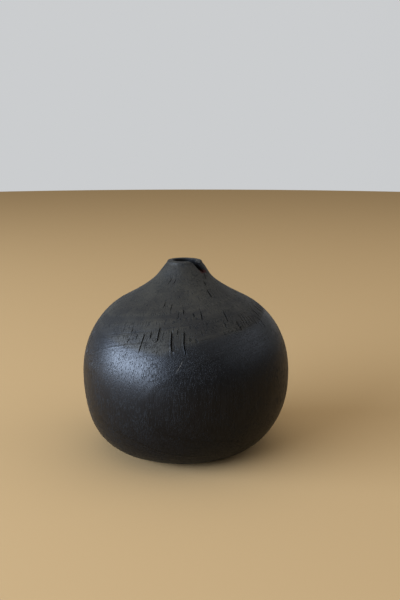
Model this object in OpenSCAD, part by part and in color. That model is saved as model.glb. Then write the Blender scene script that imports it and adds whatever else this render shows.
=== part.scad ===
// Squat, narrow-mouthed pot turned from a blackened wood block in two halves.
// The halves meet in a glued tenon at the belly, a flanged plug closes the hollowing
// hole in the floor, and a felt pad in a shallow recess is what the pot stands on.
// Frame: +Z up, origin on the resting face at the turning axis, -Y is the front.

/* [Body] */
// Width across the belly
body_d = 150; // [125:1:180]
// Height from the resting face to the top of the lip
body_h = 138; // [115:1:166]
// Height of the widest point above the resting face, where the halves meet
belly_h = 56; // [46:1:68]
// Diameter where the body turns under to its flat base
base_d = 84; // [70:1:101]
// Angle at which the wall climbs away from the base
base_rise = 11.5; // [9:0.5:14]

/* [Shoulder and neck] */
// Height of the hollow-curved neck, from the shoulder's turning point to the lip
neck_h = 27.5; // [23:0.5:33]
// Diameter at the shoulder's turning point
shoulder_d = 90; // [75:1:108]
// Slope of the wall at the shoulder's turning point, from the horizontal
shoulder_slope = 27; // [22:1:33]
// Slope of the wall just under the lip, from the horizontal
lip_slope = 48; // [40:1:58]
// Outside diameter of the lip
lip_d = 25; // [21:0.2:30]
// Radius that rounds the lip's outer edge
lip_round = 2.4; // [2:0.1:2.9]

/* [Mouth and split] */
// Bore of the mouth
mouth_d = 15; // [12.5:0.5:18]
// Length of the straight bore below the lip
mouth_len = 4; // [3:0.5:5]
// Width of the open drying split, at the lip
split_w = 4; // [3.3:0.1:4.8]
// Depth of the open split below the lip
split_h = 9; // [7.5:0.5:11]
// Direction of the split, turned from the front towards +X
split_turn = 50; // [40:1:60]

/* [Wall] */
// Wall of the body, square to its surface
wall = 6.5; // [5.4:0.1:7.8]
// Wall of the neck, square to its surface
neck_wall = 3; // [2.5:0.1:3.6]
// Thickness of the floor
floor_t = 9; // [7.5:0.5:10.8]

/* [Glued joints] */
// Height of the tenon that stands up from the lower half
tenon_h = 6; // [5:0.5:7]
// Glue clearance round the tenon and round the plug, on the radius
glue_gap = 0.1; // [0.05:0.05:0.2]
// Glue space left above the tenon
tenon_top_gap = 0.4; // [0.2:0.1:0.8]

/* [Base plug and pad] */
// Diameter of the hollowing hole that the plug fills
plug_d = 44; // [37:1:53]
// How far the plug's flange reaches past its hole
flange_lap = 7; // [5.8:0.2:8.4]
// Thickness of the plug's flange
flange_t = 3; // [2.5:0.5:3.6]
// How far the felt pad's edge keeps inside the edge of the base
pad_inset = 5; // [4:0.5:6]
// Thickness of the felt pad
pad_t = 1.5; // [1.2:0.1:1.8]
// How far the pad stands proud of the wood
pad_proud = 0.8; // [0.6:0.1:1]

/* [Hidden] */
wood_colour = [0.10, 0.10, 0.10];
plug_colour = [0.16, 0.13, 0.10];
felt_colour = [0.05, 0.05, 0.06];
$fn = 96;
curve_steps = 18; // points along each curve of the section
past = 1; // how far a cutter runs past what it cuts
clear_by = 0.5; // least step from a flat of the hollow to the curved wall

body_r = body_d / 2;
base_r = base_d / 2;
shoulder_r = shoulder_d / 2;
lip_r = lip_d / 2;
mouth_r = mouth_d / 2;
plug_r = plug_d / 2;
pad_r = base_r - pad_inset;
base_z = pad_proud;
floor_z = base_z + floor_t;
shoulder_z = body_h - neck_h;
bore_z = body_h - mouth_len;
recess_t = pad_t - pad_proud;

// How far each curve holds its end direction, as a share of the span it covers
base_hold = 0.70;
belly_hold_down = 0.51;
belly_hold_up = 0.53;
shoulder_hold_in = 0.57;
neck_hold_out = 0.93;
neck_hold_up = 0.41;

// A cubic curve from a to d with the handles b and c, at t from 0 to 1
function curve(a, b, c, d, t) =
    pow(1 - t, 3) * a + 3 * t * pow(1 - t, 2) * b + 3 * t * t * (1 - t) * c + pow(t, 3) * d;
// The direction of that curve at t, of length 1
function heading(a, b, c, d, t) =
    let (v = pow(1 - t, 2) * (b - a) + 2 * t * (1 - t) * (c - b) + t * t * (d - c)) v / norm(v);
// The unit direction that climbs inwards at an angle from the horizontal
function inwards(angle) = [-cos(angle), sin(angle)];

// The outside of the pot in four curves of [radius, height]
lower_curve = [
    [base_r, base_z],
    [base_r, base_z] + base_hold * (body_r - base_r) * [cos(base_rise), sin(base_rise)],
    [body_r, belly_h - belly_hold_down * (belly_h - base_z)],
    [body_r, belly_h],
];
upper_curve = [
    [body_r, belly_h],
    [body_r, belly_h + belly_hold_up * (shoulder_z - belly_h)],
    [shoulder_r, shoulder_z] - shoulder_hold_in * (body_r - shoulder_r) * inwards(shoulder_slope),
    [shoulder_r, shoulder_z],
];
neck_curve = [
    [shoulder_r, shoulder_z],
    [shoulder_r, shoulder_z] + neck_hold_out * (shoulder_r - lip_r) * inwards(shoulder_slope),
    [lip_r, body_h - lip_round] - neck_hold_up * (neck_h - lip_round) * inwards(lip_slope),
    [lip_r, body_h - lip_round],
];
lip_curve = [
    [lip_r, body_h - lip_round],
    [lip_r, body_h - lip_round] + lip_round / 2 * inwards(lip_slope),
    [lip_r - lip_round / 2, body_h],
    [lip_r - lip_round, body_h],
];

// Points along one curve, moved inwards by a wall that changes evenly from wall_a to wall_b
function points_on(c, wall_a, wall_b) = [
    for (i = [0:curve_steps])
        let (t = i / curve_steps, dir = heading(c[0], c[1], c[2], c[3], t))
            curve(c[0], c[1], c[2], c[3], t) + (wall_a + (wall_b - wall_a) * t) * [-dir[1], dir[0]]
];
// The same points without the first, which the curve before has already given
function rest_of(list) = [for (i = [1:len(list) - 1]) list[i]];

outside = concat(
    [[0, base_z]],
    points_on(lower_curve, 0, 0),
    rest_of(points_on(upper_curve, 0, 0)),
    rest_of(points_on(neck_curve, 0, 0)),
    rest_of(points_on(lip_curve, 0, 0)),
    [[0, body_h]]
);
wall_points = concat(
    points_on(lower_curve, wall, wall),
    rest_of(points_on(upper_curve, wall, wall)),
    rest_of(points_on(neck_curve, wall, neck_wall))
);
// Only the stretch above the floor and wider than the mouth bounds the hollow
hollow_wall = [
    for (p = wall_points)
        if (p[1] > floor_z + clear_by && p[1] < bore_z - clear_by && p[0] > mouth_r + clear_by) p
];
hollow = concat(
    [[0, floor_z], [hollow_wall[0][0] - clear_by, floor_z]],
    hollow_wall,
    [[mouth_r, bore_z], [0, bore_z]]
);

// The whole wooden vessel before it is parted: skin, hollow, mouth and open split
module vessel() {
    difference() {
        rotate_extrude() polygon(outside);
        rotate_extrude() polygon(hollow);
        translate([0, 0, bore_z - past]) cylinder(r = mouth_r, h = mouth_len + 2 * past);
        open_split();
    }
}

// A wedge that opens one side of the neck from the bore outwards, wide at the lip
module open_split() {
    rotate([0, 0, split_turn - 90])
        rotate([90, 0, 90])
            linear_extrude(height = shoulder_r)
                polygon([
                    [0, body_h - split_h],
                    [split_w / 2 * (1 + past / split_h), body_h + past],
                    [-split_w / 2 * (1 + past / split_h), body_h + past],
                ]);
}

// A plain disc from height low to height high
module disc(r, low, high) {
    translate([0, 0, low]) cylinder(r = r, h = high - low);
}

tenon_r = body_r - wall / 2;
above_all = body_h + past;
below_all = base_z - past;

// Shoulder, neck and mouth, rebated inside its lower edge for the tenon
module upper_shell() {
    color(wood_colour)
        difference() {
            vessel();
            disc(body_r + past, below_all, belly_h);
            disc(tenon_r, belly_h - past, belly_h + tenon_h);
        }
}

// Belly and floor, with the tenon, the stepped plug hole and the pad's recess
module lower_shell() {
    color(wood_colour)
        difference() {
            vessel();
            difference() {
                disc(body_r + past, belly_h, above_all);
                disc(tenon_r - glue_gap, belly_h - past, belly_h + tenon_h - tenon_top_gap);
            }
            disc(plug_r, below_all, floor_z + past);
            disc(plug_r + flange_lap, below_all, base_z + recess_t + flange_t);
            disc(pad_r + glue_gap, below_all, base_z + recess_t);
        }
}

// Flanged plug, glued up into the floor from below
module base_plug() {
    color(plug_colour)
        union() {
            disc(plug_r + flange_lap - glue_gap, base_z + recess_t, base_z + recess_t + flange_t);
            disc(plug_r - glue_gap, base_z + recess_t, floor_z);
        }
}

// Felt disc that the pot stands on
module felt_pad() {
    color(felt_colour) disc(pad_r, 0, pad_t);
}

upper_shell();
lower_shell();
base_plug();
felt_pad();
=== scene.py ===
"""Looks for a squat, narrow-mouthed pot turned hollow from a block of blackened wood.

The pot is four glued pieces that all ride on one body: an upper shell with the
shoulder, the neck and the split mouth, a lower shell with the belly and the floor,
a flanged plug that closes the hollowing hole, and a felt pad in a shallow recess.
Both shells are modelled here in full, with the drying checks that run across one band
of growth rings. Lengths are in metres unless a name ends in _mm, and a "turn" is an
angle about the pot's axis in degrees, from the front (-Y) towards the right (+X).
"""

import logging
import math
import random
from collections.abc import Callable
from dataclasses import dataclass, field
from enum import Enum
from functools import cache, partial

import bmesh
import bpy
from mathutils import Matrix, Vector, noise
from mathutils.geometry import interpolate_bezier


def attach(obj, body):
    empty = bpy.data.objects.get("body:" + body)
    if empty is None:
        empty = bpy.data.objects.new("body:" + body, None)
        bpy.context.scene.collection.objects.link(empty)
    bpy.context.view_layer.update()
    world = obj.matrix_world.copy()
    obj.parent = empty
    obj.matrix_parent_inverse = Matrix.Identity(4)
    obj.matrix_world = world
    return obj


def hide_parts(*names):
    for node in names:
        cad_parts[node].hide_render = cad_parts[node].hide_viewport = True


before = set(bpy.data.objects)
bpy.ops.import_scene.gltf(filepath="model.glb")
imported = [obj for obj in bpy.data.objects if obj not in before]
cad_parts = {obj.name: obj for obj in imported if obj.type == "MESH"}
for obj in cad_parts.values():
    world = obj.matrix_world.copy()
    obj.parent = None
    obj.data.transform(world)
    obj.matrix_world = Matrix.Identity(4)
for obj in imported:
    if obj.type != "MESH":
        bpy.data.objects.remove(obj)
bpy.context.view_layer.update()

LOG = logging.getLogger("pot")
BODY = "root"
MM = 0.001
# The attribute that tells how far a raised scratch has lost its char
SCRAPED = "scraped"
# Where the pith of the block lies, to the left of the pot's axis
PITH_X_MM = -8.0
# Settings that many nodes share: a smooth rise, and a mix of two colours
SMOOTH = {"interpolation_type": "SMOOTHSTEP"}
OF_COLOURS = {"data_type": "RGBA", "out": 2}


def hex_linear(code: str) -> tuple[float, float, float, float]:
    """Turn an sRGB hex colour into the linear colour that a shader socket takes.

    Args:
        code: Six hex digits after a hash sign.

    Returns:
        Linear red, green and blue, and an alpha of 1.
    """
    parts = [int(code[i : i + 2], 16) / 255 for i in (1, 3, 5)]
    linear = [p / 12.92 if p <= 0.04045 else ((p + 0.055) / 1.055) ** 2.4 for p in parts]
    return (linear[0], linear[1], linear[2], 1.0)


def smooth_step(low: float, high: float, value: float) -> float:
    """Give how far a smooth rise from 0 at low to 1 at high has come at a value."""
    t = min(max((value - low) / (high - low), 0.0), 1.0)
    return t * t * (3 - 2 * t)


def turn_between(turn: float, other: float) -> float:
    """Give how far a turn lies past another, from -180 to 180 degrees."""
    return (turn - other + 180) % 360 - 180


def add_node(
    tree: bpy.types.NodeTree,
    kind: str,
    links: dict[str | int, object] | None = None,
    out: str | int = 0,
    **settings: object,
) -> bpy.types.NodeSocket | None:
    """Add one node with its settings and what feeds it.

    Args:
        tree: The node tree that gets the node.
        kind: The node's type name, without the ShaderNode in front.
        links: For each input, by name or number, an output socket or a plain value.
        out: The name or number of the output to give back.
        settings: Properties of the node, by name.

    Returns:
        That output, or None from a node that has no outputs.
    """
    node = tree.nodes.new("ShaderNode" + kind)
    for name, value in settings.items():
        setattr(node, name, value)
    for name, value in (links or {}).items():
        if isinstance(value, bpy.types.NodeSocket):
            tree.links.new(value, node.inputs[name])
        else:
            node.inputs[name].default_value = value
    return node.outputs[out] if node.outputs else None


def new_material(name: str) -> tuple[bpy.types.Material, Callable[..., bpy.types.NodeSocket]]:
    """Start a material with an empty node tree.

    Args:
        name: The material's name.

    Returns:
        The material, and the function that adds a node to it.
    """
    material = bpy.data.materials.new(name)
    material.use_nodes = True
    material.node_tree.nodes.clear()
    return material, partial(add_node, material.node_tree)


def finish_surface(
    add: Callable[..., bpy.types.NodeSocket],
    relief: bpy.types.NodeSocket,
    depth_mm: float,
    surface: dict[str, object],
) -> None:
    """Add the relief, the surface and the output that end each finish.

    Args:
        add: The function that adds a node to the material.
        relief: The pattern that gives the relief.
        depth_mm: How deep a relief of 1 is.
        surface: What the surface's own inputs are set to.
    """
    normal = add("Bump", {"Height": relief, "Strength": 1.0, "Distance": depth_mm * MM})
    shader = add("BsdfPrincipled", {"Normal": normal} | surface)
    add("OutputMaterial", {"Surface": shader})


class Surface(Enum):
    """The kinds of wood surface on the shells, in the order of their material slots."""

    SKIN = 0
    RAW = 1


# ---------------------------------------------------------------- finishes


@dataclass(frozen=True)
class BlackenedWood:
    """Solid wood, charred, brushed and oiled: the pot's outer skin.

    Brushing takes the char off the soft early wood, so the rings, the pores and the
    short checks read as relief. The inner rings on the shoulder stay open-grained and
    matt with a film of grey soot; the belly, rubbed with oil, has a blue-black shine.
    The soot's warm grey is partly the film's own colour and partly painted light: it
    stands in for the warm light from the wall and the light from above on the shoulder.
    """

    # Soot film colour, lightened and warmed as painted light from the wall and from above
    soot_and_warm_light: str = "#26231c"
    char: str = "#13110e"
    oiled: str = "#0f1012"
    deep: str = "#060607"
    pore: str = "#080807"
    bruise: str = "#716d66"
    pith_x_mm: float = PITH_X_MM
    pith_tilt: float = 1.2
    band_inner_mm: float = 57.0
    band_outer_mm: float = 66.5
    rubbed_mm: float = 86.0
    rag_slope: float = 0.12
    wander_mm: float = 38.0
    drift_mm: tuple[float, float, float] = (7.0, 7.0, 6.0)
    pore_mm: float = 0.5
    pore_patch_mm: float = 14.0
    fibre_mm: float = 1.1
    ring_mm: float = 3.4
    hairline_mm: float = 0.9
    tick_mm: float = 0.85
    tick_r_mm: float = 60.0
    soot_patch_mm: float = 22.0
    matt: float = 0.58
    satin: float = 0.4
    relief_mm: float = 0.1

    def build(self) -> bpy.types.Material:
        """Build the material on Object coordinates, with its patterns in millimetres.

        Returns:
            The finished material.
        """
        material, add = new_material("blackened_wood_charred_brushed_oiled")
        falling = {"To Min": 1.0, "To Max": 0.0}
        # Scaling by 1000 makes one unit of every pattern a millimetre, and the shift and
        # the tilt put the pith, the centre of the rings, on the pattern's own Z.
        about_the_pith = {
            "Vector": add("TexCoord", out="Object"),
            "Location": (-self.pith_x_mm, 0.0, 0.0),
            "Rotation": (0.0, math.radians(self.pith_tilt), 0.0),
            "Scale": (1000.0, 1000.0, 1000.0),
        }
        place = add("Mapping", about_the_pith)
        # Rings are never round: they wander by half of drift_mm at most, over wander_mm
        broad = {"Vector": place, "Scale": 1 / self.wander_mm, "Detail": 2.0, "Roughness": 0.45}
        wander = add("TexNoise", broad, out="Color")
        spread = Vector(self.drift_mm)
        drift = add("VectorMath", {0: wander, 1: spread, 2: -spread / 2}, operation="MULTIPLY_ADD")
        shifted = add("VectorMath", {0: place, 1: drift}, operation="ADD")
        across = add("VectorMath", {0: shifted, 1: (1.0, 1.0, 0.0)}, operation="MULTIPLY")
        ring = add("VectorMath", {0: across}, out="Value", operation="LENGTH")
        spoke = add("VectorMath", {0: across}, operation="NORMALIZE")

        # Growth rings: uneven widths come from one-dimensional noise along the radius
        uneven_rings = {"W": ring, "Scale": 1 / self.ring_mm, "Detail": 1.5, "Roughness": 0.6}
        years = add("TexNoise", uneven_rings, noise_dimensions="1D")
        late = add("MapRange", {"Value": years, "From Min": 0.52, "From Max": 0.66}, **SMOOTH)
        tool_lines = {"W": ring, "Scale": 1 / self.hairline_mm, "Detail": 1.0, "Roughness": 0.5}
        hairlines = add("TexNoise", tool_lines, noise_dimensions="1D")

        # The matt inner rings end at the band's outer edge, or where the oiled rag reached
        height = add("SeparateXYZ", {"Vector": shifted}, out="Z")
        sideways = height.node.outputs["X"]
        leaning = {0: sideways, 1: self.rag_slope, 2: height}
        rag_line = add("Math", leaning, operation="MULTIPLY_ADD")
        rag = {"Value": rag_line, "From Min": self.rubbed_mm - 2.0, "From Max": self.rubbed_mm + 2.0}
        rubbed = add("MapRange", rag | falling, **SMOOTH)
        band_low, band_high = self.band_outer_mm - 1.0, self.band_outer_mm + 1.5
        past_band = {"Value": ring, "From Min": band_low, "From Max": band_high}
        outer_rings = add("MapRange", past_band, **SMOOTH)
        beyond = add("Math", {0: outer_rings, 1: rubbed}, operation="MAXIMUM")
        inside_band = add("Math", {0: 1.0, 1: beyond}, operation="SUBTRACT")
        rims = []
        for edge in (self.band_inner_mm, self.band_outer_mm):
            off = add("Math", {0: ring, 1: edge}, operation="SUBTRACT")
            far = add("Math", {0: off}, operation="ABSOLUTE")
            near = {"Value": far, "From Min": 0.1, "From Max": 0.5}
            rims.append(add("MapRange", near | falling, **SMOOTH))
        either = add("Math", {0: rims[0], 1: rims[1]}, operation="MAXIMUM")
        unrubbed = add("Math", {0: 1.0, 1: rubbed}, operation="SUBTRACT")
        rim_zone = add("Math", {0: either, 1: unrubbed}, operation="MULTIPLY")

        # Pores are tubes along the trunk: dots where the surface cuts them across on the
        # shoulder, upright strokes where it runs along them on the belly. Real ones are
        # 0.2 mm wide, drawn here at pore_mm so that they show.
        long_way = add("VectorMath", {0: place, 1: (1.0, 1.0, 0.14)}, operation="MULTIPLY")
        tubes = add(
            "TexNoise",
            {"Vector": long_way, "Scale": 1 / self.pore_mm, "Detail": 1.0, "Roughness": 0.5},
        )
        patchy = add(
            "TexNoise",
            {"Vector": place, "Scale": 1 / self.pore_patch_mm, "Detail": 1.0, "Roughness": 0.5},
        )
        crowding = {"From Min": 0.35, "From Max": 0.65, "To Min": 0.60, "To Max": 0.50}
        open_from = add("MapRange", {"Value": patchy} | crowding)
        open_to = add("Math", {0: open_from, 1: 0.11}, operation="ADD")
        pores = add("MapRange", {"Value": tubes, "From Min": open_from, "From Max": open_to}, **SMOOTH)

        # Fibres: fine upright brush marks, from wire brushing along the grain. They too are
        # drawn coarser than real ones, at fibre_mm, so that they show.
        brushed = add("VectorMath", {0: place, 1: (1.0, 1.0, 0.035)}, operation="MULTIPLY")
        fibres = add(
            "TexNoise",
            {"Vector": brushed, "Scale": 1 / self.fibre_mm, "Detail": 3.0, "Roughness": 0.6},
        )

        # Ticks: rays opened by the flame, short strokes that point at the pith
        fan = add("VectorMath", {0: spoke, "Scale": self.tick_r_mm}, operation="SCALE")
        along = add("Math", {0: ring, 1: 0.3}, operation="MULTIPLY")
        rays = add("VectorMath", {0: fan, 1: add("CombineXYZ", {"Z": along})}, operation="ADD")
        tick_noise = add(
            "TexNoise",
            {"Vector": rays, "Scale": 1 / self.tick_mm, "Detail": 1.0, "Roughness": 0.5},
        )
        in_early_wood = {"From Min": 0.42, "From Max": 0.56, "To Min": 0.70, "To Max": 0.56}
        tick_from = add("MapRange", {"Value": years} | in_early_wood, **SMOOTH)
        tick_to = add("Math", {0: tick_from, 1: 0.08}, operation="ADD")
        strokes = {"Value": tick_noise, "From Min": tick_from, "From Max": tick_to}
        tick_raw = add("MapRange", strokes, **SMOOTH)
        ticks = add("Math", {0: tick_raw, 1: inside_band}, operation="MULTIPLY")
        broken = add("MapRange", {"Value": tick_noise, "From Min": 0.4, "From Max": 0.56}, **SMOOTH)
        rim_lines = add("Math", {0: rim_zone, 1: broken}, operation="MULTIPLY")

        # Colour: sooty grey inside (its warm grey partly painted light), blue-black outside, dark in
        # every opening
        soot_patch = add(
            "TexNoise",
            {"Vector": place, "Scale": 1 / self.soot_patch_mm, "Detail": 3.0, "Roughness": 0.6},
        )
        layered = add("Math", {0: years, 1: 0.35, 2: soot_patch}, operation="MULTIPLY_ADD")
        film = add("MapRange", {"Value": layered, "From Min": 0.52, "From Max": 0.82})
        streaks = add("MapRange", {"Value": fibres, "From Min": 0.38, "From Max": 0.6})
        dark_grain = add("Math", {0: late, 1: streaks}, operation="MAXIMUM")
        openings = add("Math", {0: pores, 1: ticks}, operation="MAXIMUM")
        scored = add("Math", {0: openings, 1: rim_lines}, operation="MAXIMUM")
        marks = add("Math", {0: scored, 1: 0.6}, operation="MULTIPLY")
        scraped = add("Attribute", out="Fac", attribute_name=SCRAPED)
        # The inner colour is partly painted light: the warm grey stands in for light on the shoulder
        soot_with_painted_light = {0: film, 6: hex_linear(self.char), 7: hex_linear(self.soot_and_warm_light)}
        inner = add("Mix", soot_with_painted_light, **OF_COLOURS)
        oily = {0: dark_grain, 6: hex_linear(self.oiled), 7: hex_linear(self.deep)}
        outer = add("Mix", oily, **OF_COLOURS)
        whole = add("Mix", {0: beyond, 6: inner, 7: outer}, **OF_COLOURS)
        marked = add("Mix", {0: marks, 6: whole, 7: hex_linear(self.pore)}, **OF_COLOURS)
        colour = add("Mix", {0: scraped, 6: marked, 7: hex_linear(self.bruise)}, **OF_COLOURS)

        # Gloss: matt char to satin oil, with the pores always dull
        gloss = add("MapRange", {"Value": beyond, "To Min": self.matt, "To Max": self.satin})
        uneven = add("Math", {0: fibres, 1: 0.26, 2: gloss}, operation="MULTIPLY_ADD")
        dulled = add("Math", {0: openings, 1: 0.3, 2: uneven}, operation="MULTIPLY_ADD")
        roughness = add("Math", {0: dulled, 1: 0.14}, operation="SUBTRACT")

        # Relief: fibres and late wood stand out, pores, ticks and rim lines are cut in
        relief = add("Math", {0: fibres, 1: 0.9}, operation="MULTIPLY")
        for part, amount in (
            (pores, -0.5),
            (ticks, -1.3),
            (late, 0.6),
            (hairlines, 0.6),
            (rim_lines, -0.8),
        ):
            relief = add("Math", {0: part, 1: amount, 2: relief}, operation="MULTIPLY_ADD")
        surface = {"Base Color": colour, "Roughness": roughness, "IOR": 1.5, "Specular IOR Level": 0.3}
        finish_surface(add, relief, self.relief_mm, surface)
        return material


@dataclass(frozen=True)
class RawWood:
    """The same wood below the char, bare: the hollow and the walls of the split.

    A turning tool leaves it dry, reddish brown and dull, with upright grain, and the
    flame has smoked it black for a few millimetres down the mouth.
    """

    light: str = "#3a170f"
    dark: str = "#1c0b08"
    smoke: str = "#0e0d0c"
    smoked_mm: float = 132.4
    grain_mm: float = 1.6
    roughness: float = 0.75

    def build(self) -> bpy.types.Material:
        """Build the material on Object coordinates.

        Returns:
            The finished material.
        """
        material, add = new_material("bare_reddish_wood_tool_cut")
        place = add("TexCoord", out="Object")
        upright = add("Mapping", {"Vector": place, "Scale": (1000.0, 1000.0, 60.0)})
        grain = add(
            "TexNoise",
            {"Vector": upright, "Scale": 1 / self.grain_mm, "Detail": 3.0, "Roughness": 0.6},
        )
        height = add("SeparateXYZ", {"Vector": place}, out="Z")
        low, high = (self.smoked_mm - 1.2) * MM, (self.smoked_mm + 0.6) * MM
        reach = {"Value": height, "From Min": low, "From Max": high}
        smoked = add("MapRange", reach, **SMOOTH)
        tones = {0: grain, 6: hex_linear(self.dark), 7: hex_linear(self.light)}
        bare = add("Mix", tones, **OF_COLOURS)
        colour = add("Mix", {0: smoked, 6: bare, 7: hex_linear(self.smoke)}, **OF_COLOURS)
        surface = {"Base Color": colour, "Roughness": self.roughness, "Specular IOR Level": 0.2}
        finish_surface(add, grain, 0.1, surface)
        return material


@dataclass(frozen=True)
class PlugWood:
    """Close-grained wood, faced off on the lathe and stained dark: the base plug.

    The stain sinks unevenly, so the grain still shows brown, and nothing shines.
    """

    light: str = "#4a372a"
    dark: str = "#251b15"
    ring_mm: float = 2.2
    roughness: float = 0.65

    def build(self) -> bpy.types.Material:
        """Build the material on Object coordinates.

        Returns:
            The finished material.
        """
        material, add = new_material("stained_close_grained_wood_faced_off")
        place = add("TexCoord", out="Object")
        lengthwise = add("Mapping", {"Vector": place, "Scale": (1000.0, 90.0, 1000.0)})
        grain = add(
            "TexNoise",
            {"Vector": lengthwise, "Scale": 1 / self.ring_mm, "Detail": 4.0, "Roughness": 0.6},
        )
        tones = {0: grain, 6: hex_linear(self.dark), 7: hex_linear(self.light)}
        colour = add("Mix", tones, **OF_COLOURS)
        finish_surface(add, grain, 0.1, {"Base Color": colour, "Roughness": self.roughness})
        return material


@dataclass(frozen=True)
class PressedFelt:
    """Wool felt, pressed and cut with a punch: the pad under the pot.

    Matted fibres scatter light, so it has a soft sheen at its edge and no gloss.
    """

    colour: str = "#232326"
    lint: str = "#4a4a4e"
    matting_mm: float = 0.9

    def build(self) -> bpy.types.Material:
        """Build the material on Object coordinates.

        Returns:
            The finished material.
        """
        material, add = new_material("pressed_wool_felt")
        place = add("TexCoord", out="Object")
        felt = add("Mapping", {"Vector": place, "Scale": (1000.0, 1000.0, 1000.0)})
        tangle = {"Vector": felt, "Scale": 1 / self.matting_mm, "Detail": 5.0, "Roughness": 0.7}
        matting = add("TexNoise", tangle | {"Distortion": 1.2})
        tones = {0: matting, 6: hex_linear(self.colour), 7: hex_linear(self.lint)}
        surface = {
            "Base Color": add("Mix", tones, **OF_COLOURS),
            "Roughness": 0.95,
            "Specular IOR Level": 0.1,
            "Sheen Weight": 0.12,
            "Sheen Roughness": 0.5,
            "Sheen Tint": hex_linear(self.lint),
        }
        finish_surface(add, matting, 0.3, surface)
        return material


@dataclass(frozen=True)
class StudioPaint:
    """Flat paint for the stage: one plain pale colour with no gloss."""

    name: str
    colour: str

    def build(self) -> bpy.types.Material:
        """Build the plain material.

        Returns:
            The finished material.
        """
        material, add = new_material(self.name)
        flat = {"Base Color": hex_linear(self.colour), "Roughness": 1.0, "Specular IOR Level": 0.0}
        add("OutputMaterial", {"Surface": add("BsdfPrincipled", flat)})
        return material


# ---------------------------------------------------------------- the turned section


@dataclass(frozen=True)
class Section:
    """Half of the pot cut through its axis, as a turner draws it.

    The widths and heights are those of the CAD pieces that the shells stand for.
    """

    body_r: float = 75.0 * MM
    body_h: float = 138.0 * MM
    belly_h: float = 56.0 * MM
    base_r: float = 42.0 * MM
    base_z: float = 0.8 * MM
    base_rise: float = 11.5
    neck_h: float = 27.5 * MM
    shoulder_r: float = 45.0 * MM
    shoulder_slope: float = 27.0
    lip_r: float = 12.5 * MM
    lip_slope: float = 48.0
    lip_round: float = 2.4 * MM
    mouth_r: float = 7.5 * MM
    mouth_len: float = 4.0 * MM
    ease: float = 0.5 * MM
    wall: float = 6.5 * MM
    neck_wall: float = 3.0 * MM
    floor_z: float = 9.8 * MM
    tenon_h: float = 6.0 * MM
    tenon_top_gap: float = 0.4 * MM
    glue_gap: float = 0.1 * MM
    plug_r: float = 22.0 * MM
    flange_lap: float = 7.0 * MM
    flange_t: float = 3.0 * MM
    pad_r: float = 37.0 * MM
    recess_t: float = 0.7 * MM
    # How far each curve holds its end direction, as a share of the span it covers
    base_hold: float = 0.70
    belly_hold_down: float = 0.51
    belly_hold_up: float = 0.53
    shoulder_hold_in: float = 0.57
    neck_hold_out: float = 0.93
    neck_hold_up: float = 0.41

    def climb(self, angle: float, outwards: bool = False) -> Vector:
        """Give the direction that climbs inwards, or outwards, at an angle in degrees."""
        a = math.radians(angle)
        return Vector((math.cos(a) * (1 if outwards else -1), math.sin(a)))

    def curve(self, a: Vector, b: Vector, c: Vector, d: Vector, steps: int) -> list[Vector]:
        """Lay points, of radius and height, along a curve from a to d with handles b and c."""
        return [Vector(p[:2]) for p in interpolate_bezier(a, b, c, d, steps + 1)]

    def belly_line(self, steps: int) -> list[Vector]:
        """Draw the outside from the edge of the base up to the widest point.

        Args:
            steps: How many stretches the line gets.

        Returns:
            The points, from low to high.
        """
        foot = Vector((self.base_r, self.base_z))
        wide = Vector((self.body_r, self.belly_h))
        reach = self.base_hold * (self.body_r - self.base_r)
        out = foot + reach * self.climb(self.base_rise, True)
        down = wide - Vector((0, self.belly_hold_down * (self.belly_h - self.base_z)))
        return self.curve(foot, out, down, wide, steps)

    def shoulder_line(self, steps: int) -> list[Vector]:
        """Draw the outside from the widest point to where the shoulder turns hollow.

        Args:
            steps: How many stretches the line gets.

        Returns:
            The points, from low to high.
        """
        wide = Vector((self.body_r, self.belly_h))
        turn = Vector((self.shoulder_r, self.body_h - self.neck_h))
        up = wide + Vector((0, self.belly_hold_up * (turn.y - wide.y)))
        reach = self.shoulder_hold_in * (self.body_r - self.shoulder_r)
        back = turn - reach * self.climb(self.shoulder_slope)
        return self.curve(wide, up, back, turn, steps)

    def neck_line(self, steps: int) -> list[Vector]:
        """Draw the hollow-curved neck up to the rounding of the lip.

        Args:
            steps: How many stretches the line gets.

        Returns:
            The points, from low to high.
        """
        turn = Vector((self.shoulder_r, self.body_h - self.neck_h))
        top = Vector((self.lip_r, self.body_h - self.lip_round))
        reach = self.neck_hold_out * (self.shoulder_r - self.lip_r)
        on = turn + reach * self.climb(self.shoulder_slope)
        drop = self.neck_hold_up * (self.neck_h - self.lip_round)
        below = top - drop * self.climb(self.lip_slope)
        return self.curve(turn, on, below, top, steps)

    def lip_line(self, steps: int) -> list[Vector]:
        """Draw the lip: its rounded outer edge, the flat rim and the eased inner edge.

        Args:
            steps: How many stretches the outer edge gets.

        Returns:
            The points, from the outer edge to the bore, without the neck's last one.
        """
        low = Vector((self.lip_r, self.body_h - self.lip_round))
        flat = Vector((self.lip_r - 0.8 * self.lip_round, self.body_h))
        edge = low + 0.6 * self.lip_round * self.climb(self.lip_slope)
        outer = self.curve(low, edge, flat + Vector((0.5 * self.lip_round, 0)), flat, steps)
        inner = self.curve(
            Vector((self.mouth_r + self.ease, self.body_h)),
            Vector((self.mouth_r + 0.4 * self.ease, self.body_h)),
            Vector((self.mouth_r, self.body_h - 0.4 * self.ease)),
            Vector((self.mouth_r, self.body_h - self.ease)),
            3,
        )
        return outer[1:] + inner

    def moved_in(self, line: list[Vector], wall_a: float, wall_b: float) -> list[Vector]:
        """Move a line inwards, square to itself, by a wall that changes evenly.

        Args:
            line: Points of the outside, from low to high.
            wall_a: Wall at the first point.
            wall_b: Wall at the last point.

        Returns:
            The moved points.
        """
        moved = []
        for i, point in enumerate(line):
            along = line[min(i + 1, len(line) - 1)] - line[max(i - 1, 0)]
            square = Vector((-along.y, along.x)).normalized()
            wall = wall_a + (wall_b - wall_a) * i / (len(line) - 1)
            moved.append(point + wall * square)
        return moved


# ---------------------------------------------------------------- drying checks


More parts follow.
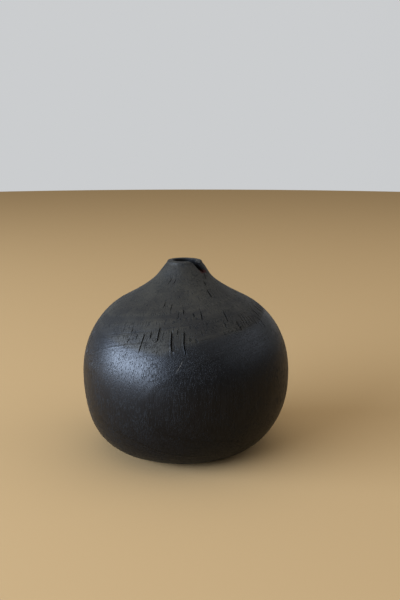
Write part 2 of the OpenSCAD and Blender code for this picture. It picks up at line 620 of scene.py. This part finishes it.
@dataclass(frozen=True)
class Check:
    """One drying check: a short crack that opened across the rings.

    A depth below 0 makes it a raised scratch instead.
    """

    low_mm: float
    high_mm: float
    width_mm: float = 0.9
    depth_mm: float = 1.0
    lean_mm: float = 0.0

    def opened(self, z_mm: float) -> float:
        """Args:
            z_mm: Height above the table.

        Returns:
            A share from 0 to 1.
        """
        f = (z_mm - self.low_mm) / (self.high_mm - self.low_mm)
        if f <= 0 or f >= 1:
            return 0.0
        lower_end, upper_end = 0.22, 0.3
        return smooth_step(0.0, lower_end, f) * smooth_step(0.0, upper_end, 1 - f)

    def sideways(self, z_mm: float) -> float:
        """Say how far the check has drifted to the right at a height.

        Args:
            z_mm: Height above the table.

        Returns:
            Millimetres along the surface.
        """
        span = self.high_mm - self.low_mm
        f = min(max((z_mm - self.low_mm) / span, 0.0), 1.0) - 0.5
        fade_in = smooth_step(self.low_mm - span, self.low_mm, z_mm)
        fade_out = smooth_step(self.high_mm + span, self.high_mm, z_mm)
        return self.lean_mm * f * (fade_in * fade_out)

    def sink(self, z_mm: float, off_mm: float) -> float:
        """Give how deep the skin sinks beside the check, with a lifted rim along it.

        Args:
            z_mm: Height above the table.
            off_mm: Distance from the check's middle line.

        Returns:
            Millimetres into the wood, less than 0 where the rim lifts.
        """
        opened = self.opened(z_mm)
        if not opened:
            return 0.0
        reach = abs(off_mm) / (self.width_mm / 2 * (0.5 + 0.5 * opened))
        # In half-widths: where the cut ends, and the middle and the reach of its lifted rim
        edge, rim, rim_reach = 0.9, 1.2, 0.6
        lift = 0.13 * self.depth_mm * opened
        if reach < edge:
            return self.depth_mm * opened * (1 - reach / edge)
        return -lift * max(1 - abs(reach - rim) / rim_reach, 0.0)


@dataclass(frozen=True)
class Ray:
    turn: float
    checks: tuple[Check, ...]

    def half_angle(self, radius_mm: float) -> float:
        """Give half the width of the ray's lowest check, in degrees, at a radius."""
        return math.degrees(self.checks[0].width_mm / 2 / radius_mm)


FRONT_RAYS = (
    Ray(-43.0, (Check(95.5, 98.5, 0.5, 0.4),)),
    Ray(-36.0, (Check(90.5, 94.0, 0.5, 0.5), Check(97.0, 99.8, 0.6, 0.7))),
    Ray(-31.0, (Check(94.0, 96.5, 0.5, 0.6),)),
    Ray(-26.5, (Check(86.0, 98.8, 0.8, 1.0, 1.2), Check(124.0, 128.2, 0.7, 0.4, 1.3))),
    Ray(-22.0, (Check(94.5, 99.3, 0.7, 0.9),)),
    Ray(-19.5, (Check(111.6, 114.4, 0.6, 0.7),)),
    Ray(-17.0, (Check(93.0, 103.0, 0.8, 1.1), Check(123.8, 127.8, 0.7, 0.4, 1.4))),
    Ray(-14.0, (Check(96.5, 98.5, 0.5, 0.6),)),
    Ray(-12.0, (Check(111.2, 113.4, 0.6, 0.6),)),
    Ray(-8.5, (Check(86.5, 101.5, 1.0, 1.3, -0.9),)),
    Ray(-5.0, (Check(97.5, 100.5, 0.5, 0.7), Check(107.0, 110.0, 0.5, 0.5))),
    Ray(-3.2, (Check(75.6, 83.8, 0.4, -0.25, 5.0),)),
    Ray(-1.0, (Check(85.5, 101.5, 1.0, 1.3, 0.5), Check(108.8, 112.0, 0.7, 0.8))),
    Ray(2.5, (Check(94.0, 97.0, 0.5, 0.6),)),
    Ray(7.0, (Check(106.8, 109.6, 0.7, 0.8),)),
    Ray(10.0, (Check(98.0, 100.5, 0.4, 0.4),)),
    Ray(13.0, (Check(105.2, 110.8, 0.8, 0.9, 1.0),)),
    Ray(28.0, (Check(100.8, 104.5, 0.8, 1.0),)),
    Ray(32.0, (Check(103.3, 109.5, 0.9, 1.1, 1.6),)),
    Ray(34.8, (Check(115.6, 121.2, 1.3, 1.3, 1.6),)),
    Ray(38.0, (Check(97.8, 103.4, 1.4, 1.4), Check(121.5, 126.0, 0.7, 0.7))),
    Ray(41.0, (Check(99.5, 103.0, 0.5, 0.6),)),
    Ray(43.7, (Check(100.0, 105.5, 0.6, 0.7, 0.8),)),
    Ray(46.5, (Check(99.5, 106.8, 0.7, 0.8, 1.2), Check(125.8, 130.0, 0.8, 0.9))),
    Ray(49.2, (Check(100.5, 105.0, 0.5, 0.6, 0.8),)),
    Ray(52.0, (Check(98.5, 104.8, 0.6, 0.7, 1.0),)),
    Ray(55.0, (Check(98.0, 104.0, 0.6, 0.7, 1.0),)),
    Ray(58.0, (Check(97.0, 101.0, 0.5, 0.6),)),
    Ray(61.5, (Check(95.0, 101.5, 0.7, 0.8, 0.8),)),
)

# Hairline checks low on the sides and the back
LOWER_RAYS = (
    Ray(-118.0, (Check(24.0, 46.0, 0.6, 0.6, 1.0),)),
    Ray(96.0, (Check(30.0, 47.0, 0.6, 0.6, -0.8),)),
    Ray(164.0, (Check(20.0, 38.0, 0.7, 0.7, 0.8),)),
)


@dataclass(frozen=True)
class Upright:
    """Each check comes with how far its ray lies from the line, in radians.
    """

    turn: float
    beside: tuple[tuple[float, Check], ...] = ()


@dataclass(frozen=True)
class Split:
    """The open split beside the mouth, where the neck gave way as it dried.

    The neck's grain has swung to the right by swing degrees for each millimetre below
    the lip, less the back degrees that it swung left at the lip itself. That fades out
    over fade_mm below the split and with the spread, in degrees, to both sides.
    """

    turn: float = 49.0
    half_angle: float = 10.0
    top_mm: float = 138.0
    bottom_mm: float = 130.5
    swing: float = 2.0
    back: float = 6.0
    fade_mm: float = 9.0
    spread: float = 40.0
    fallen_mm: float = 0.9
    shares: tuple[float, ...] = (0.0, 0.3, 0.6, 0.78, 0.88, 0.95, 1.0, 1.08, 1.2, 1.5, 2.0)

    def lines(self) -> list[float]:
        """Give the turns of the upright lines that the split needs."""
        both = {k for share in self.shares for k in (share, -share)}
        return [self.turn + k * self.half_angle for k in sorted(both)]

    def slant(self, turn: float, z_mm: float) -> float:
        """Give how far the neck's grain has swung round at a place, in degrees.

        Args:
            turn: The turn of the place.
            z_mm: Its height.

        Returns:
            Degrees to the right, more at the split's foot than at the mouth.
        """
        calm_mm = self.bottom_mm - self.fade_mm
        if z_mm < calm_mm:
            return 0.0
        down = self.top_mm - max(z_mm, self.bottom_mm)
        fade = smooth_step(calm_mm, self.bottom_mm, z_mm)
        near = math.exp(-((turn_between(turn, self.turn) / self.spread) ** 2))
        return (self.swing * down - self.back) * fade * near


class OuterSkin:
    """The outside of the pot as it is after drying: leaning, uneven, checked and split."""

    # Distances from the pith between which the drying checks opened
    BAND_MM = (57.0, 66.0)
    # Where the mesh has lines beside a check, in halves of its width
    REACHES = (-1.8, -0.95, 0.0, 0.95, 1.8)
    # How many degrees to each side of a line a check counts as beside it
    BESIDE = 9.0
    NECK_LEAN_MM = 1.5
    FOOT_LEAN_MM = 2.4
    SPRING_MM = 1.7
    # Unevenness: the lines waver sideways every 3 mm or so, and the skin dents every 25 mm
    WAVER_MM = 0.22
    DENT_MM = 0.16

    def __init__(self, section: Section) -> None:
        """Lay out the rays round the pot.

        Args:
            section: The turned section.
        """
        self.section = section
        line = section.belly_line(40) + section.shoulder_line(40)[1:] + section.neck_line(40)[1:]
        self.line = line + [Vector((section.lip_r, section.body_h))]
        self.split = Split()
        self.rays = FRONT_RAYS + self.seeded_rays()

    def radius_mm(self, z_mm: float) -> float:
        """Give the turned outside radius at a height.

        Args:
            z_mm: Height above the table.

        Returns:
            The radius in millimetres.
        """
        z = z_mm * MM
        line = self.line
        if z <= line[0].y:
            return line[0].x / MM
        low, high = 0, len(line) - 1
        while high - low > 1:
            mid = (low + high) // 2
            if line[mid].y <= z:
                low = mid
            else:
                high = mid
        a, b = line[low], line[high]
        share = min(max((z - a.y) / max(b.y - a.y, 1e-9), 0.0), 1.0)
        return (a.x + (b.x - a.x) * share) / MM

    @cache
    def normal(self, z_mm: float) -> tuple[float, float]:
        """Give the direction that the skin faces at a height.

        Args:
            z_mm: Height above the table.

        Returns:
            A unit direction, as radius and height.
        """
        step = 0.6
        slope = (self.radius_mm(z_mm + step) - self.radius_mm(z_mm - step)) / (2 * step)
        size = math.hypot(1.0, slope)
        return (1.0 / size, -slope / size)

    def ring_mm(self, turn: float, z_mm: float) -> float:
        """Give the distance from the pith, which tells the ring, at a place on the skin.

        Args:
            turn: The turn of the place.
            z_mm: Its height.

        Returns:
            The distance in millimetres.
        """
        r = self.radius_mm(z_mm)
        a = math.radians(turn)
        return math.hypot(r * math.sin(a) - PITH_X_MM, r * math.cos(a))

    def seeded_rays(self) -> tuple[Ray, ...]:
        """Spread more checks round the sides and the back, in the same band of rings.

        Returns:
            The rays, none of them among the front ones.
        """
        rng = random.Random(7)
        rays = []
        turn = 65.0
        while turn < 292.0:
            inside = [
                z
                for z in range(72, 110)
                if self.BAND_MM[0] <= self.ring_mm(turn, z) <= self.BAND_MM[1]
            ]
            low, high = min(inside), max(inside)
            crowded = noise.noise(Vector((turn * 0.06, 3.1, 0.0)))
            long = rng.random() < 0.35 + 0.4 * crowded
            start = low + rng.uniform(0.0, 1.5 if long else 0.6 * (high - low))
            end = high + rng.uniform(-1.0, 0.5) if long else start + rng.uniform(2.5, 5.0)
            size = rng.uniform(0.8, 1.2) if long else rng.uniform(0.5, 0.7)
            checks = [Check(start, end, size, size, rng.uniform(-0.9, 0.9))]
            if rng.random() < 0.3:
                above = rng.uniform(high + 4, high + 14)
                size = rng.uniform(0.6, 1.0)
                checks.append(Check(above, above + rng.uniform(2.0, 5.0), size, 0.8 * size))
            rays.append(Ray(turn if turn <= 180 else turn - 360, tuple(checks)))
            turn += rng.uniform(3.6, 7.0) - 1.2 * crowded
        return tuple(rays)

    def uprights(self, rays: tuple[Ray, ...], extra: list[float], gap: float) -> list[Upright]:
        """Choose the upright lines of a mesh: close at each check, even between.

        Args:
            rays: The rays that open in this mesh.
            extra: Turns of other lines that it needs.
            gap: The most degrees between two lines.

        Returns:
            The lines in order, from the back round by the front.
        """
        turns = [-180.0] + extra
        for ray in rays:
            half = ray.half_angle(self.radius_mm(ray.checks[0].high_mm))
            turns += [ray.turn + reach * half for reach in self.REACHES]
        turns.sort()
        lines = []
        for turn, following in zip(turns, turns[1:] + [180.0]):
            parts = max(1, math.ceil((following - turn) / gap))
            for i in range(parts):
                at = turn + (following - turn) * i / parts
                beside = tuple(
                    (math.radians(turn_between(at, ray.turn)), check)
                    for ray in rays
                    if abs(turn_between(at, ray.turn)) < self.BESIDE
                    for check in ray.checks
                )
                lines.append(Upright(at, beside))
        return lines

    def scrape(self, upright: Upright, point: Vector) -> float:
        """Say how far a raised scratch has lost its char at a point, from 0 to 1.

        Args:
            upright: The upright line that the point is on.
            point: The point of the section, as radius and height.

        Returns:
            A share from 0 to 1.
        """
        share = 0.0
        for angle, check in upright.beside:
            if check.depth_mm < 0:
                lifted = check.sink(point.y / MM, angle * point.x / MM) / check.depth_mm
                share = max(share, min(lifted, 1.0))
        return share

    def lean(self, z: float) -> float:
        """Give how far the pot has pulled to the left (-X) as it dried.

        Args:
            z: Height above the table, in metres.

        Returns:
            The distance in metres.
        """
        at_neck = self.NECK_LEAN_MM * smooth_step(92, 126, z / MM)
        at_foot = self.FOOT_LEAN_MM * smooth_step(44, 0, z / MM)
        return (at_neck + at_foot) * MM

    def spring(self, turn: float, z_mm: float) -> float:
        """Give how far the lip has sprung outwards behind the split.

        Args:
            turn: The turn of the place.
            z_mm: Its height.

        Returns:
            The distance in metres, greatest 25 degrees past the split.
        """
        past = turn_between(turn, self.split.turn)
        if past < 0:
            return 0.0
        peak, spread = 25.0, 48.0
        near = math.exp(-(((past - peak) / spread) ** 2))
        return self.SPRING_MM * MM * smooth_step(124, 137, z_mm) * near

    def place(self, upright: Upright, point: Vector, on_skin: bool) -> Vector:
        """Put one point of the turned section where it ended up after drying.

        Args:
            upright: The upright line that the point is on.
            point: The point of the section, as radius and height.
            on_skin: Whether the point is on the outside.

        Returns:
            The point in the pot's frame.
        """
        r, z = point
        z_mm = z / MM
        a = math.radians(upright.turn + self.split.slant(upright.turn, z_mm))
        r += self.spring(upright.turn, z_mm)
        if on_skin:
            way = Vector((math.sin(a), -math.cos(a), 0.0))
            side = self.WAVER_MM * noise.noise(Vector((way.x * 26, way.y * 26, z_mm * 0.28)))
            sink = -self.DENT_MM * noise.noise(Vector((way.x * 3.1, way.y * 3.1, z_mm * 0.035)))
            for angle, check in upright.beside:
                off = angle * r / MM
                if check.lean_mm:
                    span = max(abs(check.lean_mm) * 2.0, 1.2)
                    side += check.sideways(z_mm) * math.exp(-((off / span) ** 2))
                sink += check.sink(z_mm, off)
            a += side * MM / max(r, 12 * MM)
            if z < self.section.body_h - self.section.lip_round:
                out, up = self.normal(round(z_mm, 3))
                r -= sink * MM * out
                z -= sink * MM * up
        spot = Vector((r * math.sin(a), -r * math.cos(a), z))
        if on_skin:
            spot.x -= self.lean(z)
        return spot


class PotShell:
    """Builds the two wooden halves of the pot."""

    # The most degrees between two upright lines of each half
    UPPER_GAP = 1.15
    LOWER_GAP = 1.3
    # Edges that turn by more degrees than this stay crisp
    CRISP = 48.0

    def __init__(self, skin: BlackenedWood, raw: RawWood) -> None:
        """Draw the section and lay out the drying marks.

        Args:
            skin: The finish of the outside.
            raw: The finish of the hollow and of the split.
        """
        self.section = Section()
        self.outside = OuterSkin(self.section)
        self.materials = (skin.build(), raw.build())
        self.tenon_r = self.section.body_r - self.section.wall / 2

    def upper_outline(self) -> list[tuple[Vector, bool]]:
        """Go once round the cut face of the upper half.

        Returns:
            The points in order, each with whether it is on the outside.
        """
        s = self.section
        skin = s.shoulder_line(46) + s.neck_line(34)[1:] + s.lip_line(5)
        inner = s.moved_in(s.neck_line(14), s.wall, s.neck_wall)[::-1]
        inner += s.moved_in(s.shoulder_line(18), s.wall, s.wall)[::-1][1:]
        bore_z = s.body_h - s.mouth_len
        top = s.belly_h + s.tenon_h
        hollow = [p for p in inner if top + MM < p.y < bore_z - MM and p.x > s.mouth_r + MM]
        bore = [Vector((s.mouth_r, bore_z))]
        step = 0.4 * MM
        rebate = [
            Vector((hollow[-1].x + step, top)),
            Vector((self.tenon_r, top)),
            Vector((self.tenon_r, s.belly_h)),
        ]
        return [(p, True) for p in skin] + [(p, False) for p in bore + hollow + rebate]

    def lower_outline(self) -> list[tuple[Vector, bool]]:
        """Go once round the cut face of the lower half.

        Returns:
            The points in order, each with whether it is on the outside.
        """
        s = self.section
        skin = s.belly_line(56)
        tenon_r, tenon_z = self.tenon_r - s.glue_gap, s.belly_h + s.tenon_h - s.tenon_top_gap
        wall = s.moved_in(s.belly_line(20), s.wall, s.wall)[::-1]
        hollow = [p for p in wall if s.floor_z + MM < p.y < s.belly_h - MM]
        flange_r, pad_r = s.plug_r + s.flange_lap, s.pad_r + s.glue_gap
        recess_z = s.base_z + s.recess_t
        flange_z = recess_z + s.flange_t
        tenon_step, floor_step = 0.3 * MM, 1.5 * MM
        inner = [
            Vector((tenon_r, s.belly_h)),
            Vector((tenon_r, tenon_z)),
            Vector((hollow[0].x - tenon_step, tenon_z)),
            Vector((hollow[0].x, s.belly_h)),
            *hollow,
            Vector((hollow[-1].x - floor_step, s.floor_z)),
            Vector((s.plug_r, s.floor_z)),
            Vector((s.plug_r, flange_z)),
            Vector((flange_r, flange_z)),
            Vector((flange_r, recess_z)),
            Vector((pad_r, recess_z)),
            Vector((pad_r, s.base_z)),
        ]
        return [(p, True) for p in skin] + [(p, False) for p in inner]

    def turn_outline(
        self, name: str, outline: list[tuple[Vector, bool]], uprights: list[Upright]
    ) -> bpy.types.Object:
        """Spin an outline into a shell, then age its skin.

        Args:
            name: The piece's name.
            outline: The points of the cut face.
            uprights: The upright lines of the mesh.

        Returns:
            The new piece.
        """
        bm = bmesh.new()
        row_of = bm.verts.layers.int.new("row")
        scraped = bm.verts.layers.float.new(SCRAPED)
        ring = []
        for row, (point, _) in enumerate(outline):
            vert = bm.verts.new((0.0, point.x, point.y))
            vert[row_of] = row
            ring.append(vert)
        edges = [bm.edges.new((a, b)) for a, b in zip(ring, ring[1:] + ring[:1])]
        count = len(uprights)
        bmesh.ops.spin(
            bm,
            geom=ring + edges,
            cent=(0, 0, 0),
            axis=(0, 0, 1),
            dvec=(0, 0, 0),
            angle=2 * math.pi,
            steps=count,
            use_merge=True,
            use_duplicate=False,
        )
        for vert in bm.verts:
            angle = math.atan2(vert.co.x, -vert.co.y) + math.pi
            upright = uprights[round(angle * count / (2 * math.pi)) % count]
            point, on_skin = outline[vert[row_of]]
            vert.co = self.settle(upright, point, on_skin)
            if on_skin:
                vert[scraped] = self.outside.scrape(upright, point)
        bmesh.ops.recalc_face_normals(bm, faces=bm.faces)
        self.mark_surfaces(bm, row_of, outline)
        mesh = bpy.data.meshes.new(name)
        bm.to_mesh(mesh)
        bm.free()
        for material in self.materials:
            mesh.materials.append(material)
        mesh.shade_smooth()
        mesh.set_sharp_from_angle(angle=math.radians(self.CRISP))
        piece = bpy.data.objects.new(name, mesh)
        bpy.context.scene.collection.objects.link(piece)
        return piece

    def settle(self, upright: Upright, point: Vector, on_skin: bool) -> Vector:
        """Place one point, cut down where the split runs through the wall.

        Args:
            upright: The upright line that the point is on.
            point: The point of the section, as radius and height.
            on_skin: Whether the point is on the outside.

        Returns:
            The point in the pot's frame.
        """
        split = self.outside.split
        floor = self.split_floor(abs(turn_between(upright.turn, split.turn)) / split.half_angle)
        if point.y > floor:
            point = self.cut_down(point, floor, on_skin)
        return self.outside.place(upright, point, on_skin)

    def split_floor(self, off: float) -> float:
        """Give the height to which the wall is gone near the split.

        Args:
            off: Distance from the split's middle, in half-widths.

        Returns:
            The height in metres.
        """
        s, split = self.section, self.outside.split
        top, bottom = s.body_h, split.bottom_mm * MM
        fallen = split.fallen_mm * MM
        if off < 1.0:
            return bottom + (top - fallen - bottom) * off**3
        return top - fallen * (1 - smooth_step(1.0, 2.0, off))

    def cut_down(self, point: Vector, floor: float, on_skin: bool) -> Vector:
        """Bring a point of the wall down to the floor of the split.

        Args:
            point: A point of the section above that floor.
            floor: The floor's height.
            on_skin: Whether the point is on the outside.

        Returns:
            The new point on the floor, between the skin and the hollow.
        """
        s = self.section
        outer = self.outside.radius_mm(floor / MM) * MM
        bore_z = s.body_h - s.mouth_len
        widening = 0.62
        inner = s.mouth_r if floor > bore_z else s.mouth_r + widening * (bore_z - floor)
        # Shares of the wall that the neck's skin and the rim are spread over
        neck_share, rim_share = 0.35, 0.5
        if on_skin and point.x > s.lip_r:
            share = neck_share * min((point.y - floor) / (s.body_h - floor), 1.0)
        elif on_skin:
            across = min(max((s.lip_r - point.x) / (s.lip_r - s.mouth_r), 0.0), 1.0)
            share = neck_share + rim_share * across
        else:
            share = 1.0
        return Vector((outer + (inner - outer) * share, floor))

    def mark_surfaces(
        self,
        bm: bmesh.types.BMesh,
        row_of: bmesh.types.BMLayerItem,
        outline: list[tuple[Vector, bool]],
    ) -> None:
        """Give each face its finish: skin outside, bare wood in the hollow and the split.

        Args:
            bm: The shell.
            row_of: The layer that holds each vertex's row of the outline.
            outline: The points of the cut face.
        """
        split = self.outside.split
        # The split's bare walls, in half-widths from its middle
        raw_from, raw_to = -0.92, 1.3
        for face in bm.faces:
            centre = face.calc_center_median()
            z_mm = centre.z / MM
            under = z_mm < self.section.base_z / MM + 0.1
            skin = under or sum(outline[v[row_of]][1] for v in face.verts) >= 3
            if z_mm > split.bottom_mm - 0.5:
                turn = math.degrees(math.atan2(centre.x + self.outside.lean(centre.z), -centre.y))
                turn -= split.slant(turn, z_mm)
                off = turn_between(turn, split.turn) / split.half_angle
                skin = skin and not raw_from < off < raw_to
            face.material_index = (Surface.SKIN if skin else Surface.RAW).value

    def build(self) -> list[bpy.types.Object]:
        """Build both halves and tie them to the frame.

        Returns:
            The upper and the lower half.
        """
        outside = self.outside
        upper_lines = outside.uprights(outside.rays, outside.split.lines(), self.UPPER_GAP)
        lower_lines = outside.uprights(LOWER_RAYS, [], self.LOWER_GAP)
        pieces = []
        for name, node, outline, lines in (
            ("pot_upper_half", "upper_shell", self.upper_outline(), upper_lines),
            ("pot_lower_half", "lower_shell", self.lower_outline(), lower_lines),
        ):
            piece = self.turn_outline(name, outline, lines)
            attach(piece, BODY)
            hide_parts(node)
            pieces.append(piece)
        return pieces


@dataclass
class BasePlug:
    """The flanged plug, which keeps its CAD shape and gets its finish."""

    finish: PlugWood = field(default_factory=PlugWood)

    def build(self) -> bpy.types.Object:
        """Dress the plug.

        Returns:
            The CAD node's object.
        """
        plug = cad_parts["base_plug"]
        plug.data.materials.clear()
        plug.data.materials.append(self.finish.build())
        return plug


@dataclass
class FeltPad:
    """The felt disc that the pot stands on, punched out and slightly frayed."""

    radius: float = 37.0 * MM
    thickness: float = 1.5 * MM
    edge: float = 0.35 * MM
    fray: float = 0.10 * MM
    frayed_from: float = 30.0 * MM
    dent: float = 0.04 * MM
    segments: int = 240
    insets: tuple[float, ...] = (5.0 * MM, 12.0 * MM)
    finish: PressedFelt = field(default_factory=PressedFelt)

    def build(self) -> bpy.types.Object:
        """Punch the disc, ease its edges and fray its rim.

        Returns:
            The new piece.
        """
        bm = bmesh.new()
        bmesh.ops.create_circle(bm, cap_ends=True, segments=self.segments, radius=self.radius)
        punched = bmesh.ops.extrude_face_region(bm, geom=bm.faces[:])
        top = [v for v in punched["geom"] if isinstance(v, bmesh.types.BMVert)]
        bmesh.ops.translate(bm, verts=top, vec=(0, 0, self.thickness))
        bmesh.ops.recalc_face_normals(bm, faces=bm.faces)
        rims = [e for e in bm.edges if abs(e.verts[0].co.z - e.verts[1].co.z) < self.edge]
        bmesh.ops.bevel(
            bm,
            geom=rims,
            offset=self.edge,
            offset_type="OFFSET",
            segments=3,
            profile=0.5,
            affect="EDGES",
            material=-1,
        )
        for width in self.insets:
            flats = [f for f in bm.faces if len(f.verts) > 4]
            bmesh.ops.inset_individual(bm, faces=flats, thickness=width, use_even_offset=True)
        for vert in bm.verts:
            place = vert.co / MM
            if place.xy.length > self.frayed_from / MM:
                push = noise.noise(Vector((place.x * 0.9, place.y * 0.9, place.z * 1.5)))
                vert.co.xy *= 1 + self.fray * push / self.radius
            if 0 < place.z < self.thickness / MM:
                vert.co.z += self.dent * noise.noise(place * 0.16)
        mesh = bpy.data.meshes.new("felt_base_pad")
        bm.to_mesh(mesh)
        bm.free()
        mesh.shade_smooth()
        mesh.materials.append(self.finish.build())
        pad = bpy.data.objects.new("felt_base_pad", mesh)
        bpy.context.scene.collection.objects.link(pad)
        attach(pad, BODY)
        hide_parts("felt_pad")
        return pad


@dataclass
class Stage:
    """The plain pale floor, the soft lights and the camera."""

    floor_r: float = 2.6
    floor_paint: StudioPaint = StudioPaint("pale_warm_floor_paint", "#9a8260")
    aim: Vector = field(default_factory=lambda: Vector((0.0, 0.0, 0.07)))

    def floor(self) -> bpy.types.Object:
        """Make a wide round floor.

        Returns:
            The floor.
        """
        bm = bmesh.new()
        bmesh.ops.create_circle(bm, cap_ends=True, segments=96, radius=self.floor_r)
        mesh = bpy.data.meshes.new("floor")
        bm.to_mesh(mesh)
        bm.free()
        mesh.materials.append(self.floor_paint.build())
        floor = bpy.data.objects.new("floor", mesh)
        bpy.context.scene.collection.objects.link(floor)
        return floor

    def softbox(
        self, name: str, place: Vector, size: tuple[float, float], power: float, colour: str
    ) -> bpy.types.Object:
        """Hang one rectangular soft light that faces the pot.

        Args:
            name: The light's name.
            place: Where it hangs.
            size: Its width and height.
            power: Its power in watts.
            colour: Its colour as sRGB hex.

        Returns:
            The light.
        """
        light = bpy.data.lights.new(name, "AREA")
        light.shape = "RECTANGLE"
        light.size, light.size_y = size
        light.energy = power
        light.color = hex_linear(colour)[:3]
        lamp = bpy.data.objects.new(name, light)
        lamp.location = place
        lamp.rotation_euler = (self.aim - place).to_track_quat("-Z", "Y").to_euler()
        bpy.context.scene.collection.objects.link(lamp)
        return lamp

    def surroundings(self) -> None:
        """Fill the room with even, pale light."""
        world = bpy.data.worlds.new("pale_room")
        world.use_nodes = True
        world.node_tree.nodes.clear()
        add = partial(add_node, world.node_tree)
        up = add("SeparateXYZ", {"Vector": add("TexCoord", out="Generated")}, out="Z")
        right, back = up.node.outputs["X"], up.node.outputs["Y"]
        rise = {"Value": up, "From Min": 0.0, "From Max": 0.8, "To Min": 0.2, "To Max": 0.9}
        above = add("MapRange", rise, **SMOOTH)
        wall = {"Value": back, "From Min": 0.1, "From Max": 0.9, "To Max": 0.62}
        behind = add("MapRange", wall, **SMOOTH)
        whole = add("Math", {0: above, 1: behind}, operation="MAXIMUM")
        shade = {"Value": right, "From Min": 0.15, "From Max": 0.75, "To Min": 1.0, "To Max": 0.9}
        shaded = add("MapRange", shade, **SMOOTH)
        strength = add("Math", {0: whole, 1: shaded}, operation="MULTIPLY")
        sky = add("Background", {"Color": hex_linear("#eceef0"), "Strength": strength})
        add("OutputWorld", {"Surface": sky})
        bpy.context.scene.world = world

    def camera(self) -> bpy.types.Object:
        """Stand the camera a short way in front, above the mouth and looking down.

        Returns:
            The camera.
        """
        lens = bpy.data.cameras.new("camera")
        lens.sensor_fit = "VERTICAL"
        lens.sensor_height = 36.0
        lens.lens = 48.0
        camera = bpy.data.objects.new("camera", lens)
        camera.location = (0.0, -0.567, 0.229)
        camera.rotation_euler = (math.radians(78.0), 0.0, math.radians(-1.04))
        bpy.context.scene.collection.objects.link(camera)
        bpy.context.scene.camera = camera
        bpy.context.scene.view_settings.view_transform = "Standard"
        bpy.context.scene.view_settings.look = "Medium High Contrast"
        return camera

    def build(self) -> None:
        """Set up everything that isn't part of the pot."""
        self.floor()
        for name, place, size, power, colour in (
            ("window", (-1.66, -0.78, 0.56), (2.2, 0.85), 150.0, "#cbdcf5"),
            ("bounce", (1.6, -0.15, 1.0), (2.0, 1.2), 10.0, "#d9e3f4"),
            ("ceiling", (0.1, 0.1, 1.7), (2.2, 2.2), 9.0, "#fff8ee"),
        ):
            self.softbox(name, Vector(place), size, power, colour)
        self.surroundings()
        self.camera()


def main() -> None:
    """Build the pot and its stage, and report each piece."""
    logging.basicConfig(level=logging.INFO, format="%(name)s: %(message)s")
    Stage().build()
    for piece in PotShell(BlackenedWood(), RawWood()).build():
        LOG.info("%s: %d faces", piece.name, len(piece.data.polygons))
    for part in (BasePlug(), FeltPad()):
        piece = part.build()
        LOG.info("%s: %d faces", piece.name, len(piece.data.polygons))


if __name__ == "__main__":
    main()
